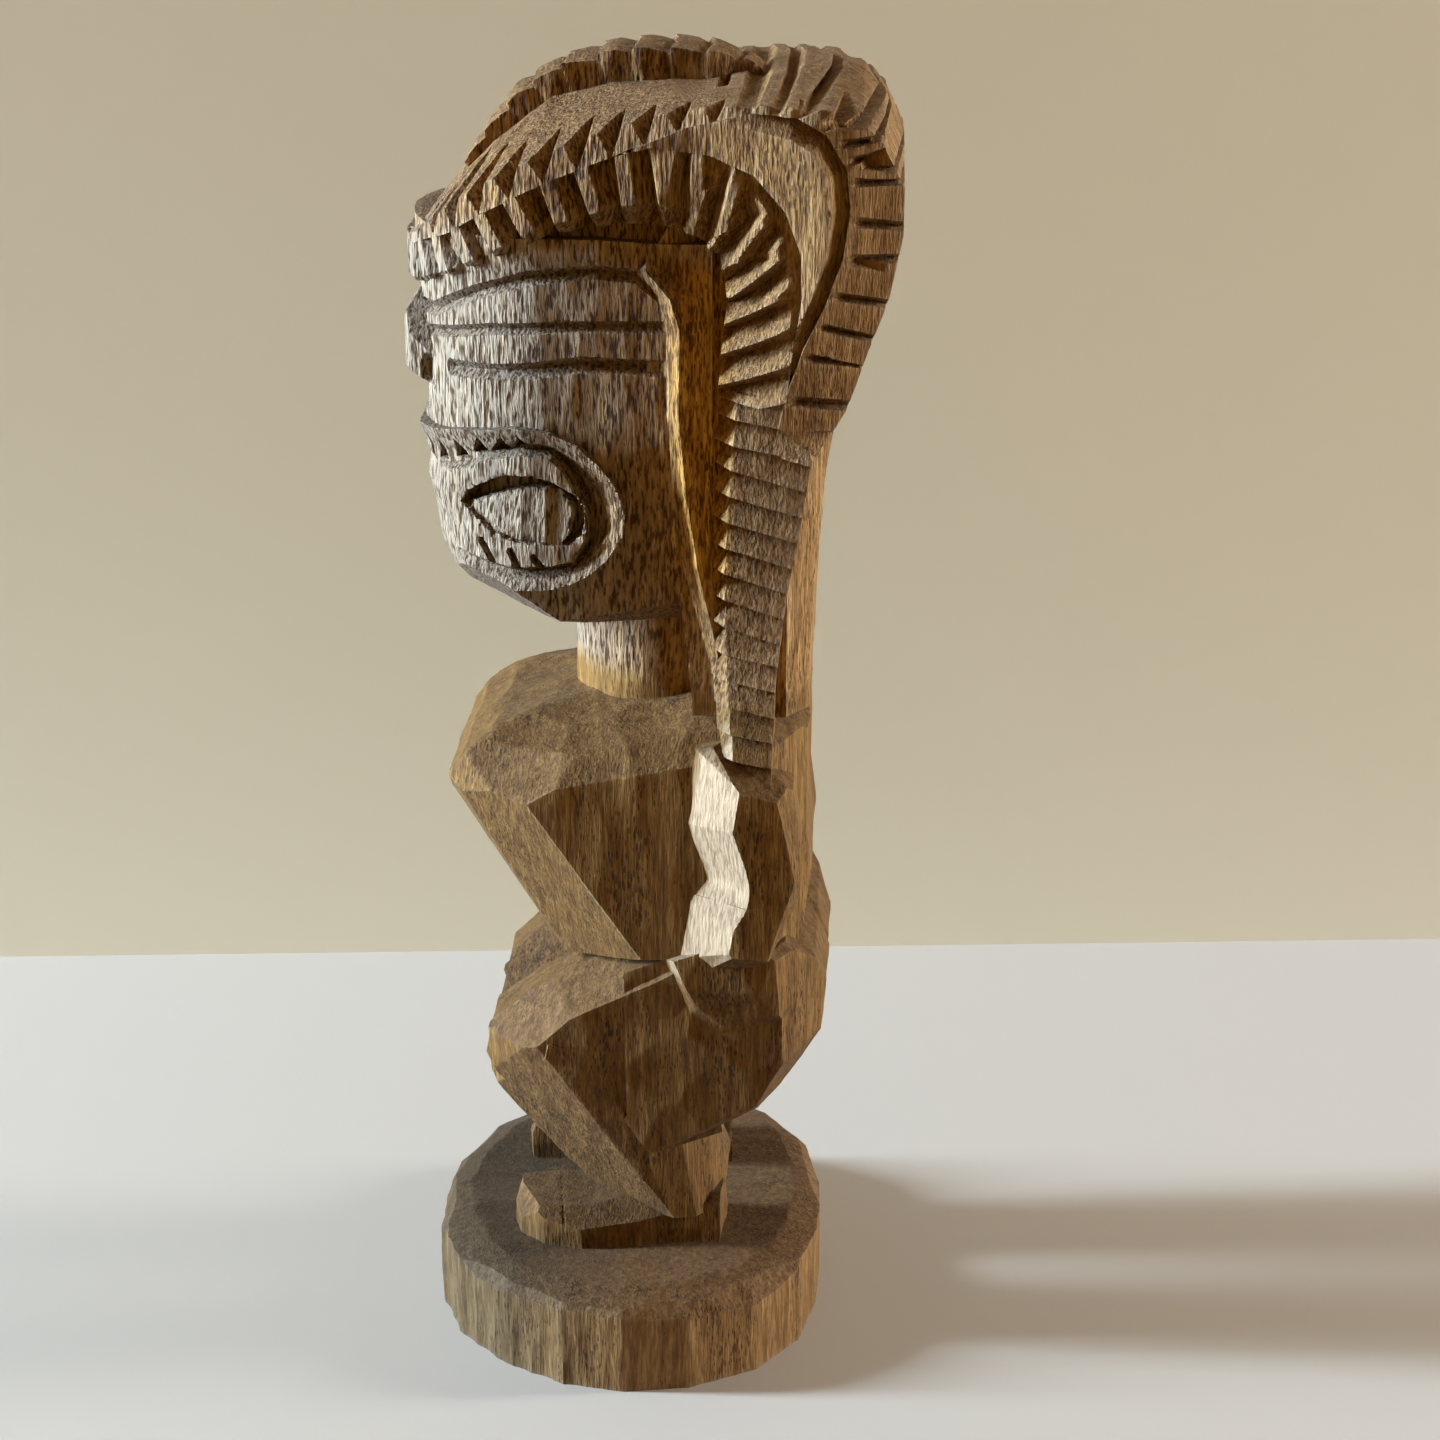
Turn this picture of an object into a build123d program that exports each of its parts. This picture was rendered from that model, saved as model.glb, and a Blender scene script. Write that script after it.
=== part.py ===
"""A carved wooden crouching figure with a notched headdress, standing on its own oval plinth.

The real carving is one block of wood. Each solid here is one region that the carver worked as a form of
its own, and neighbouring regions meet face to face. Millimetres. +Z is up, the figure looks along -Y and
its left hand is on +X. The origin is the centre of the overall box at the underside of the plinth.
"""

from build123d import *
import os

# ---------------------------------------------------------------- driving dimensions
TOTAL_HEIGHT = 280.0
PLINTH_HEIGHT = 23.0
PLINTH_BEVEL = 2.5
FACE_HALF_WIDTH = 31.0  # flat sides of the face
FACE_FRONT = -46.0  # front of the face at the middle
FACE_ROUND_Y = -19.0  # where the rounded front meets the flat sides
FACE_TOP = 252.0
HAIR_HALF_WIDTH = 33.5  # side faces of the headdress
HAIR_FRONT = FACE_FRONT - 2.5
HAIR_FLARE = [(-14, 0.0), (0, 1.0), (10, 1.8), (22, 4.0), (34, 6.0), (44, 6.2)]  # (y, how much wider there)
SIDE_DEPTH = 9.5  # how thick the carved side layer of the headdress is
CORE_HALF_WIDTH = HAIR_HALF_WIDTH - SIDE_DEPTH
SHOULDER_HALF_WIDTH = 37.0
ARM_OUTER = 42.0
ARM_INNER = 30.0
HIP_HALF_WIDTH = 38.0
THIGH_INNER, THIGH_OUTER = 5.0, 34.0
SHIN_INNER, SHIN_OUTER = 8.0, 27.0
FOOT_INNER, FOOT_OUTER = 9.0, 26.0
NECK_RADIUS = 16.5
NECK_CENTRE_Y = 2.0
CREST_HALF_WIDTH = 8.0
NOSE_HALF_WIDTH = 16.0
NOTCH_DEPTH = 3.0
NOTCH_WIDTH = 3.4
FAR = 120.0  # longer than any extrusion needs

# ---------------------------------------------------------------- outlines
# The plinth from above, the +X half, from front to back.
PLINTH_HALF = [(0, -49.5), (14, -48.5), (28, -42.5), (39, -31), (46, -18), (49, -5), (46.5, 10), (39, 24),
               (27, 33), (12, 36.5), (0, 37)]

# Side views, as (y, z).
FOOT_SIDE = [(-30.5, 22.5), (-31, 27), (-26, 31), (-8, 32.5), (2, 34), (15.5, 34), (16, 22.5)]
SHIN_SIDE = [(-35, 68), (-34, 62), (-4, 31), (15, 31), (17, 42), (12, 55), (0, 62), (-26, 74)]
THIGH_SIDE = [(-36, 67), (-33.5, 75), (-25.5, 82), (-15, 89.5), (-6, 95), (4, 97), (12, 97), (14, 54), (-3, 51),
              (-24, 62)]
HIPS_SIDE = [(2, 96), (12, 99), (30, 99), (36, 92), (38, 85), (36, 74), (26, 62), (10, 53), (2, 54)]
TORSO_SIDE = [(-14, 89), (-41, 128), (-41, 132.5), (-38, 137), (-31, 141.5), (-22.5, 145), (-12, 148.5), (0, 151),
              (26, 152.5), (33, 142), (33, 120), (34, 108), (31, 94), (14, 90)]
UPPER_ARM_SIDE = [(9, 146), (20, 149), (33, 142), (35, 124), (34, 116), (12, 116), (7, 126)]
FOREARM_SIDE = [(12, 116), (34, 116), (31, 107), (21, 96), (13, 90), (7, 93), (8, 110)]
CHIN_SIDE = [(-60, 200), (-45, 200), (-44, 186), (-42, 177), (-38, 172.5), (-32.5, 170), (-26, 168), (-15, 167),
             (30, 167), (30, 300), (-60, 300)]
NOSE_SIDE = [(-38, 232), (-48, 228), (-50, 221), (-50, 216), (-47, 212), (-38, 210)]
CORE_SIDE = [(-41, 247), (-32, 258), (-18, 267), (-6, 271), (12, 273), (30, 273), (42, 271), (47, 264), (47.5, 250),
             (44, 235),
             (38, 215), (35, 195), (33.5, 170), (33, 150), (18, 150), (15, 165), (13, 200), (10, 240), (-20, 247)]
OUTER_CREST_SIDE = [(-50, 240.5), (-37, 246.5), (-25, 254), (-17, 258), (-4, 263), (3, 265), (14, 269), (27, 271.5),
                    (35, 269), (41, 263), (42.5, 254), (41, 245), (37, 236), (32, 226), (28, 215), (34, 207),
                    (40, 220), (44.5, 233), (48, 244), (50, 256), (49, 267), (44, 273.5), (37, 276), (30, 276.2),
                    (22, 275), (12, 273), (-4, 268.5), (-17, 263.3), (-24, 260), (-37, 251.5), (-50, 244.5)]
INNER_CREST_SIDE = [(-50, 234.5), (-38, 238.4), (-30, 242), (-17, 247.5), (-4, 250), (4, 250), (11, 248), (16, 244),
                    (17.5, 236), (16.5, 228), (15.5, 216.5), (28, 215), (30, 226), (31, 236), (31, 246), (28, 254),
                    (22, 260.5), (14, 264), (3, 265), (-4, 263), (-17, 258), (-25, 254), (-37, 246.5), (-50, 240.5)]
CRESCENT_SIDE = [(3, 265), (14, 264), (22, 260.5), (28, 254), (31, 246), (31, 236), (30, 226), (28, 215),
                 (32, 226), (37, 236), (41, 245), (42.5, 254), (41, 263), (35, 269), (27, 271.5), (14, 269)]
PLAIT_SIDE = [(15.5, 216.5), (28, 215), (34, 207), (31.5, 198), (29.5, 188), (28, 176), (26.5, 160), (26, 150),
              (26, 135), (18, 135), (16, 149), (13, 167), (14, 195)]
SIDE_LOCK_SIDE = [(4, 250), (11, 248), (16, 244), (17.5, 236), (16.5, 228), (15.5, 216.5), (14, 195), (13, 167),
                  (9, 172), (6.5, 185), (5, 198), (4, 220), (4, 240)]
CENTRE_CREST_TOP = [(-45, 243), (-38, 253.5), (-34, 261), (-29, 267), (-21.5, 274), (-13, 277.5), (0, 280),
                    (10, 280), (17.5, 278), (24, 274)]
CENTRE_CREST_SIDE = [(-46, 240)] + CENTRE_CREST_TOP + [(20, 271), (0, 268), (-18, 262), (-32, 252), (-40, 245)]

# Front views, as (x, z), the +X half or the whole limb.
TORSO_FRONT_HALF = [(0, 89), (27, 89), (34, 120), (SHOULDER_HALF_WIDTH, 134), (35, 142), (26, 148.5), (14, 152.5),
                    (0, 152.5)]
HIPS_FRONT_HALF = [(0, 50), (24, 52), (35, 64), (HIP_HALF_WIDTH, 78), (37, 92), (30, 99), (0, 99)]
CORE_FRONT_HALF = [(0, 150), (22, 150), (CORE_HALF_WIDTH, 165), (CORE_HALF_WIDTH, 264), (21, 270), (0, 275)]

# Plan views, as (x, y).
TORSO_PLAN_HALF = [(0, -41), (20, -41), (30, -35), (SHOULDER_HALF_WIDTH, -24), (SHOULDER_HALF_WIDTH, 24), (28, 34),
                   (0, 34)]
CORE_PLAN_HALF = [(0, -45), (CORE_HALF_WIDTH, -30), (CORE_HALF_WIDTH, 42), (18, 50), (0, 50)]


# ---------------------------------------------------------------- helpers
def outline_face(outline):
    return make_face(Polyline(*outline, close=True))


def side_slab(outline, x_low, x_high):
    """A side view (y, z) cut through from x_low to x_high."""
    return extrude(Plane.YZ.offset(x_low) * outline_face(outline), x_high - x_low, dir=(1, 0, 0))


def front_slab(half_outline):
    """The +X half of a front view (x, z), mirrored to the whole and cut through along Y."""
    whole = half_outline + [(-x, z) for x, z in reversed(half_outline) if x > 0]
    return extrude(Plane.XZ * outline_face(whole), FAR, both=True)


def plan_slab(half_outline, z_low, z_high):
    """The +X half of a plan (x, y), mirrored to the whole and cut through from z_low to z_high."""
    whole = half_outline + [(-x, y) for x, y in reversed(half_outline) if x > 0]
    return extrude(Plane.XY.offset(z_low) * outline_face(whole), z_high - z_low, dir=(0, 0, 1))


def rounded_plan(half_width, front, back, z_low, z_high):
    """A prism with a half-elliptical front and flat sides: the plan of the face and of the headdress."""
    front_round = Plane.XY.offset(z_low) * Pos(0, FACE_ROUND_Y) * Ellipse(half_width, FACE_ROUND_Y - front)
    straight = Plane.XY.offset(z_low) * Pos(0, (FACE_ROUND_Y + back) / 2) * Rectangle(
        2 * half_width, back - FACE_ROUND_Y)
    return extrude(front_round, z_high - z_low, dir=(0, 0, 1)) + extrude(straight, z_high - z_low, dir=(0, 0, 1))


def without(shape, *others):
    """Shape with its neighbours cut out of it, so that they meet face to face."""
    for other in others:
        shape = shape - other
    return shape


def flare_at(y):
    """How much wider than its front the headdress is at y."""
    for (y_before, wider_before), (y_after, wider_after) in zip(HAIR_FLARE, HAIR_FLARE[1:]):
        if y_before <= y <= y_after:
            return wider_before + (wider_after - wider_before) * (y - y_before) / (y_after - y_before)
    return 0.0 if y < HAIR_FLARE[0][0] else HAIR_FLARE[-1][1]


def notch_tool(y, z, turn, length, wider):
    """A V-section bar that cuts one notch in a side face, across the band at (y, z), turned in degrees from +Y.
    It reaches well out of the face, so that no notch runs beneath the surface."""
    reach = NOTCH_DEPTH + 5
    profile = Polyline((0, 0), (reach, 0), (reach, NOTCH_WIDTH * reach / NOTCH_DEPTH), close=True)
    blade = extrude(Plane.XZ * make_face(profile), length / 2, both=True)
    return Pos(HAIR_HALF_WIDTH + wider - NOTCH_DEPTH, y, z) * Rot(turn, 0, 0) * blade


def notched(shape, path, count, length, lean=0.0, flared=True):
    """Shape with count notches, evenly spaced along path, which runs along the band in the side view."""
    line = Polyline(*[(0, y, z) for y, z in path])
    for step in range(count):
        share = (step + 0.5) / count
        place = line @ share
        along = line % share
        turn = Vector(0, 1, 0).get_signed_angle(along, Vector(1, 0, 0)) - 90 + lean
        wider = flare_at(place.Y) if flared else 0.0
        shape = shape - notch_tool(place.Y, place.Z, turn, length, wider)
    return shape


def other_side(shape):
    return mirror(shape, about=Plane.YZ)


# ---------------------------------------------------------------- plinth and legs
def make_plinth():
    block = plan_slab(PLINTH_HALF, 0, PLINTH_HEIGHT)
    return chamfer(block.faces().sort_by(Axis.Z)[-1].edges(), PLINTH_BEVEL)


def make_foot():
    sole = [(FOOT_INNER + 1, -27), (FOOT_INNER + 4, -31), (FOOT_OUTER - 5, -31), (FOOT_OUTER, -25),
            (FOOT_OUTER - 1, 8), (FOOT_OUTER - 5, 16), (FOOT_INNER + 2, 16), (FOOT_INNER, 8)]
    block = extrude(Plane.XY.offset(PLINTH_HEIGHT) * outline_face(sole), 12, dir=(0, 0, 1))
    return block & side_slab(FOOT_SIDE, 0, FAR)


def make_lower_leg():
    return side_slab(SHIN_SIDE, SHIN_INNER, SHIN_OUTER)


def make_thigh():
    plan = [(THIGH_INNER, 20), (THIGH_OUTER, 20), (THIGH_OUTER, -18), (29, -30), (25, -37), (12, -37), (8, -30),
            (THIGH_INNER, -10)]
    block = extrude(Plane.XY.offset(40) * outline_face(plan), 60, dir=(0, 0, 1))
    return block & side_slab(THIGH_SIDE, 0, FAR)


def make_hips():
    return side_slab(HIPS_SIDE, -HIP_HALF_WIDTH, HIP_HALF_WIDTH) & front_slab(HIPS_FRONT_HALF)


# ---------------------------------------------------------------- torso, arms and neck
def make_torso():
    block = side_slab(TORSO_SIDE, -SHOULDER_HALF_WIDTH, SHOULDER_HALF_WIDTH)
    return block & front_slab(TORSO_FRONT_HALF) & plan_slab(TORSO_PLAN_HALF, 80, 160)


def make_neck():
    return Pos(0, NECK_CENTRE_Y, 150) * Cylinder(
        NECK_RADIUS, 30, align=(Align.CENTER, Align.CENTER, Align.MIN))


# ---------------------------------------------------------------- head
def make_head():
    block = rounded_plan(FACE_HALF_WIDTH, FACE_FRONT, 12, 150, FACE_TOP)
    return block & side_slab(CHIN_SIDE, -FAR / 2, FAR / 2)


def make_nose():
    front = [(0, 232), (5, 232), (9, 228), (NOSE_HALF_WIDTH, 220), (NOSE_HALF_WIDTH, 213), (12, 210), (0, 210)]
    plan = [(0, -51), (9, -49), (12, -46.5), (NOSE_HALF_WIDTH, -42.5), (NOSE_HALF_WIDTH, -38), (0, -38)]
    wedge = side_slab(NOSE_SIDE, -NOSE_HALF_WIDTH, NOSE_HALF_WIDTH)
    return wedge & front_slab(front) & plan_slab(plan, 205, 240)


def make_mouth_ring():
    """The raised lips, which wrap round the front of the face."""
    outer = [(-60, 208), (-34, 209), (-22, 209), (-12, 205), (-5, 197), (-4, 189), (-8, 182), (-15, 178.5),
             (-28, 177), (-60, 177)]
    inner = [(-60, 198), (-33, 198.5), (-25, 200), (-16, 197), (-12, 191), (-16, 185), (-28, 183), (-60, 184)]
    shell = rounded_plan(FACE_HALF_WIDTH + 2, FACE_FRONT - 2, 12, 170, 215)
    ring = side_slab(outer, -FAR / 2, FAR / 2) - side_slab(inner, -FAR / 2, FAR / 2)
    return (shell & ring & side_slab(CHIN_SIDE, -FAR / 2, FAR / 2)) - rounded_plan(
        FACE_HALF_WIDTH, FACE_FRONT, 12, 150, FACE_TOP)


# ---------------------------------------------------------------- headdress
def make_core():
    block = side_slab(CORE_SIDE, -CORE_HALF_WIDTH, CORE_HALF_WIDTH)
    return block & front_slab(CORE_FRONT_HALF) & plan_slab(CORE_PLAN_HALF, 140, TOTAL_HEIGHT)


def hair_shell(flared):
    """The +X half of the headdress's carved side layer, which wraps round the forehead to the middle."""
    outside = rounded_plan(HAIR_HALF_WIDTH, HAIR_FRONT, 55, 120, TOTAL_HEIGHT)
    if flared:
        edge = [(HAIR_HALF_WIDTH + wider, y) for y, wider in HAIR_FLARE]
        edge.append((edge[-1][0], 55))
        outside = outside + plan_slab([(0, edge[0][1])] + edge + [(0, 55)], 120, TOTAL_HEIGHT)
    inside = plan_slab(CORE_PLAN_HALF, 110, TOTAL_HEIGHT + 10)
    return (outside - inside) & Box(
        FAR, 2 * FAR, 2 * TOTAL_HEIGHT, align=(Align.MIN, Align.CENTER, Align.MIN))


def make_centre_crest():
    block = side_slab(CENTRE_CREST_SIDE, -CREST_HALF_WIDTH, CREST_HALF_WIDTH)
    tops = Polyline(*[(0, y, z) for y, z in CENTRE_CREST_TOP])
    cut_count = 12
    for step in range(cut_count):
        place = tops @ ((step + 0.5) / cut_count)
        along = tops % ((step + 0.5) / cut_count)
        turn = Vector(0, 1, 0).get_signed_angle(along, Vector(1, 0, 0))
        wedge = make_face(Polyline((0, -1.4), (3.7, 3.5), (-1.4, 3.5), close=True))
        blade = extrude(Plane.YZ * wedge, CREST_HALF_WIDTH + 1, both=True)
        block = block - Pos(0, place.Y, place.Z) * Rot(turn, 0, 0) * blade
    return block


def main():
    plinth = make_plinth()
    left_foot = make_foot()
    left_upper_arm = side_slab(UPPER_ARM_SIDE, ARM_INNER, ARM_OUTER)
    left_forearm = side_slab(FOREARM_SIDE, ARM_INNER, ARM_OUTER - 1)
    hips = without(make_hips(), left_forearm, other_side(left_forearm))
    left_lower_leg = without(make_lower_leg(), left_foot, hips)
    left_thigh = without(make_thigh(), left_lower_leg, left_forearm, hips)
    core = make_core()
    shell = hair_shell(flared=True)
    left_plait = hair_shell(flared=False) & side_slab(PLAIT_SIDE, 0, FAR)
    left_outer_crest = shell & side_slab(OUTER_CREST_SIDE, 0, FAR)
    left_inner_crest = shell & side_slab(INNER_CREST_SIDE, 0, FAR)
    left_crescent = shell & side_slab(CRESCENT_SIDE, 0, HAIR_HALF_WIDTH + 3.5)
    left_side_lock = shell & side_slab(SIDE_LOCK_SIDE, 0, HAIR_HALF_WIDTH - 1.0)
    arms = [left_upper_arm, left_forearm]
    arms += [other_side(arm) for arm in arms]
    left_layers = [left_plait, left_outer_crest, left_inner_crest, left_side_lock]
    layers = left_layers + [other_side(layer) for layer in left_layers]
    neck = without(make_neck(), core)
    torso = without(make_torso(), *arms, hips, core, left_thigh, other_side(left_thigh), left_plait,
                    other_side(left_plait))
    neck = without(neck, torso)
    head = without(make_head(), core, neck, *layers)
    left_upper_arm = without(left_upper_arm, left_plait)
    centre_crest = without(make_centre_crest(), core, left_outer_crest, left_inner_crest,
                           other_side(left_outer_crest), other_side(left_inner_crest), head)
    mouth_ring = make_mouth_ring()
    nose = without(make_nose(), head, mouth_ring)

    left_plait = notched(left_plait, [(22, 214), (20, 190), (20, 165), (22, 137)], 16, 40, -8, flared=False)
    left_inner_crest = notched(left_inner_crest, [(-16, 252), (4, 257), (18, 253), (24, 243), (23, 216)], 10, 34)
    left_outer_crest = notched(left_outer_crest, [(-14, 262), (14, 272), (36, 275), (46, 262), (46, 245), (32, 212)],
                               15, 26, 12)

    middle = {"plinth": plinth, "hips": hips, "torso": torso, "neck": neck, "head": head, "nose": nose,
              "mouth_ring": mouth_ring, "headdress_core": core, "centre_crest": centre_crest}
    sides = {"foot": left_foot, "lower_leg": left_lower_leg, "thigh": left_thigh, "upper_arm": left_upper_arm,
             "forearm": left_forearm, "plait": left_plait, "outer_crest": left_outer_crest,
             "inner_crest": left_inner_crest, "crest_panel": left_crescent, "side_lock": left_side_lock}
    os.makedirs("parts", exist_ok=True)
    for name, shape in middle.items():
        export_step(shape, f"parts/{name}.step")
    for name, shape in sides.items():
        export_step(shape, f"parts/left_{name}.step")
        export_step(other_side(shape), f"parts/right_{name}.step")


main()
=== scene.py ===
"""Looks of a carved wooden crouching figure with a notched headdress, on its own oval plinth.

Every carved region is a signed distance field in millimetres, negative inside, turned into a mesh that keeps
its knife edges sharp. The figure looks along -Y, +Z is up and its left hand is on +X. Regions run on into
their neighbours by up to about 7 mm, so that they meet at the carved creases. A form that is longer still is
cut off there and left open: the hips, nose, centre crest, inner and outer crests and side locks. The right
side mirrors the left one, with knife marks of its own.
"""
import math
from concurrent.futures import ThreadPoolExecutor
from itertools import product

import bpy
import numpy as np
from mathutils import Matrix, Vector


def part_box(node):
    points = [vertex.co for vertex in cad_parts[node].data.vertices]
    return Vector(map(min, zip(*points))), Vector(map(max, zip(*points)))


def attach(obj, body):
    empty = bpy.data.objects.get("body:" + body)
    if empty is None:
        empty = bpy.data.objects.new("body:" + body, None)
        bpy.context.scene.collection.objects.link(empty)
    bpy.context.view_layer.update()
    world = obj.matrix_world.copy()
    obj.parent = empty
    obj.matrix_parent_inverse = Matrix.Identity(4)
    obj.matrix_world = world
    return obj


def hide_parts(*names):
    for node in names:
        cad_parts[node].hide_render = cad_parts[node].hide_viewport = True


MM = 0.001
CELL = 0.62  # mesh cell, mm
BLOCK = 4  # cells along one block of the first, coarse pass
RELIEF = 4.4  # allowance in the coarse pass for relief that moves a surface, mm
CHUNK = 40000  # points worked out at a time

# ---- forms shared with the CAD frame, mm
PLINTH_TOP = 23.0
FACE_HALF_WIDTH, FACE_DEPTH, FACE_ROUND_Y = 31.0, 27.0, -19.0
HAIR_PROUD = 2.5
HAIR_SIDE = FACE_HALF_WIDTH + HAIR_PROUD
TORSO_SIDE_X = 35.0
ARM_X = 41.6


# ---------------------------------------------------------------- distance fields
def parts_of(p):
    return p[:, 0], p[:, 1], p[:, 2]


def polygon(u, v, points):
    """Signed distance to a closed outline, negative inside."""
    corners = np.asarray(points, float)
    nearest = np.full(u.shape, 1e9)
    inside = np.zeros(u.shape, bool)
    for (ax, ay), (bx, by) in zip(corners, np.roll(corners, -1, axis=0)):
        ex, ey = bx - ax, by - ay
        wx, wy = u - ax, v - ay
        t = np.clip((wx * ex + wy * ey) / (ex * ex + ey * ey), 0, 1)
        nearest = np.minimum(nearest, (wx - ex * t) ** 2 + (wy - ey * t) ** 2)
        if ey:
            inside ^= ((ay > v) != (by > v)) & (u < ex * wy / ey + ax)
    return np.where(inside, -1, 1) * np.sqrt(nearest)


def along(u, v, points):
    """Length run along a path to its nearest point, and the distance from it, positive on its left."""
    corners = np.asarray(points, float)
    best = np.full(u.shape, 1e9)
    run, side = np.zeros(u.shape), np.zeros(u.shape)
    start = 0.0
    for (ax, ay), (bx, by) in zip(corners[:-1], corners[1:]):
        ex, ey = bx - ax, by - ay
        length = math.hypot(ex, ey)
        wx, wy = u - ax, v - ay
        t = np.clip((wx * ex + wy * ey) / length ** 2, 0, 1)
        square = (wx - ex * t) ** 2 + (wy - ey * t) ** 2
        nearer = square < best
        best = np.where(nearer, square, best)
        run = np.where(nearer, start + t * length, run)
        side = np.where(nearer, np.sign(ex * wy - ey * wx), side)
        start += length
    return run, side * np.sqrt(best)


def cut(p, normal, point):
    """Half space on the far side of a plane; the wood is where this is negative."""
    length = math.sqrt(sum(c * c for c in normal))
    nx, ny, nz = (c / length for c in normal)
    level = nx * point[0] + ny * point[1] + nz * point[2]
    return p[:, 0] * nx + p[:, 1] * ny + p[:, 2] * nz - level


def both(*fields):
    out = fields[0]
    for field in fields[1:]:
        out = np.maximum(out, field)
    return out


def ramp(value, low, high):
    return np.clip((value - low) / (high - low), 0, 1)


def mix(value, points):
    """Straight-line table lookup: points are (where, what)."""
    where, what = zip(*points)
    return np.interp(value, where, what)


# ---------------------------------------------------------------- knife work
def scatter(cells, seed):
    """Four repeatable numbers from 0 to 1 for each whole-numbered cell."""
    c = cells.astype(np.int64).astype(np.uint32)
    h = c[:, 0] * np.uint32(73856093) ^ c[:, 1] * np.uint32(19349663) ^ c[:, 2] * np.uint32(83492791)
    h = h ^ np.uint32(seed * 2654435761 % 2 ** 32)
    numbers = []
    for _ in range(4):
        h = (h ^ (h >> np.uint32(15))) * np.uint32(2246822519)
        h = (h ^ (h >> np.uint32(13))) * np.uint32(3266489917)
        h = h ^ (h >> np.uint32(16))
        numbers.append(h.astype(np.float64) / 2 ** 32)
    return numbers


def strokes(p, size, seed, loose=0.36, uneven=0.35):
    """Squared distance to the middle of the nearest knife cut, in cuts, for flat cuts with crisp ridges."""
    q = p / np.asarray(size, float) + 31.7
    base = np.floor(q)
    best = np.full(len(p), 1e9)
    for corner in product((0, 1), repeat=3):
        cell = base + np.array(corner, float)
        a, b, c, w = scatter(cell, seed)
        dx = q[:, 0] - cell[:, 0] - (a - 0.5) * 2 * loose
        dy = q[:, 1] - cell[:, 1] - (b - 0.5) * 2 * loose
        dz = q[:, 2] - cell[:, 2] - (c - 0.5) * 2 * loose
        best = np.minimum(best, dx * dx + dy * dy + dz * dz + uneven * w)
    return best


def knifed(d, p, seed, size=9.0, depth=0.9):
    """Wood surface taken down by shallow knife cuts of about this size."""
    return d - depth * (strokes(p, np.broadcast_to(size, 3), seed) - 0.45)


def teeth(phase, rise, flat):
    """One notch after another: up over rise, level over flat, then down; 1 is the top of a tooth."""
    f = phase - np.floor(phase)
    up = f / np.maximum(rise, 1e-3)
    down = (1 - f) / np.maximum(1 - rise - flat, 1e-3)
    return np.clip(np.minimum(up, down), 0, 1)


# ---------------------------------------------------------------- the head's own chart
ARC_ANGLES = np.linspace(0, math.pi / 2, 60)


def arc_table(half_width, depth):
    speed = np.hypot(half_width * np.sin(ARC_ANGLES), depth * np.cos(ARC_ANGLES))
    steps = (speed[1:] + speed[:-1]) / 2 * np.diff(ARC_ANGLES)
    return np.concatenate(([0], np.cumsum(steps)))


FACE_ARC = arc_table(FACE_HALF_WIDTH, FACE_DEPTH)


def chart(x, y, proud=0.0):
    """(t, d): t is y, measured on round the front of the head, and d is the distance out of the head's wall."""
    half, depth = FACE_HALF_WIDTH + proud, FACE_DEPTH + proud
    ahead = np.maximum(FACE_ROUND_Y - y, 0)
    out = np.abs(x)
    angle = np.arctan2(ahead / depth, out / half)
    t = np.where(ahead > 0, FACE_ROUND_Y - np.interp(angle, ARC_ANGLES, FACE_ARC), y)
    k = np.hypot(out / half, ahead / depth)
    slope = np.hypot(out / half ** 2, ahead / depth ** 2)
    return t, (k - 1) * k / np.maximum(slope, 1e-6)


OUTER_FLARE = 0.7  # share of the flare that the outer crest takes


def flare(y):
    """How much wider the hair is than the face, further and further back."""
    return mix(y, [(-14, 0.0), (0, 1.0), (10, 1.8), (22, 4.0), (34, 6.0), (44, 6.2)])


# Paths on the side of the head, as (t, z).
BAND_RIDGE = [(-64.6, 241), (-50, 242.2), (-37, 246.7), (-24, 254.4), (-17, 258), (-4.3, 263), (9.4, 268.7),
              (21.9, 271.6), (30, 271), (35.5, 268), (39.3, 261.5), (40, 254), (38.7, 245), (35.5, 236),
              (31.5, 227.5), (28, 217), (27, 212)]
BAND_TOP = [(-64.6, 247), (-50, 250), (-40, 255), (-31, 261), (-24, 265), (-13, 270), (0, 274), (13, 277),
            (25, 279), (35, 279.4), (43, 276.5), (48, 269.5), (50, 262), (50, 249), (47.6, 237), (44, 227),
            (40, 215), (34, 205)]
LOWER_EDGE = [(-64.6, 233), (-49, 234.7), (-38.4, 238.4), (-29.6, 242), (-17.3, 247.5), (-3.6, 249.9),
              (4, 250), (11, 248), (15.5, 244), (17, 236), (16, 228), (15, 216.5)]
FAN_EDGE = [(3, 265), (14, 263.5), (22, 260), (28, 253.5), (31, 245.5), (31, 236), (29.5, 226), (28, 215)]
INNER_PATH = [(-64.6, 237), (-49.4, 238.5), (-37.5, 242.6), (-27, 248), (-17, 252.8), (-4, 256.8), (5, 257.6),
              (12, 255.5), (18, 250.5), (21, 244), (22, 237), (22, 228), (21.8, 217), (21.6, 207)]
PLAIT_SIDE = [(15.2, 218), (29, 218), (33.4, 205), (31.2, 190), (28.6, 176), (26.8, 160), (26, 137),
              (18, 134), (15.2, 149), (13.2, 166), (12.8, 180), (14, 200)]
PLAIT_PATH = [(21.8, 221), (22.6, 205), (21.8, 185), (20.4, 165), (20.8, 150), (22, 130)]


# ---------------------------------------------------------------- the carved regions
PLINTH_PLAN = [(0, -49.3), (15, -48), (29, -42), (39.5, -31), (46.5, -17.5), (49, -4.5), (46.5, 10), (39, 24),
               (27, 33), (12, 36.6), (0, 37)]


def mirrored_outline(half):
    return half + [(-u, v) for u, v in reversed(half) if u]


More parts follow.
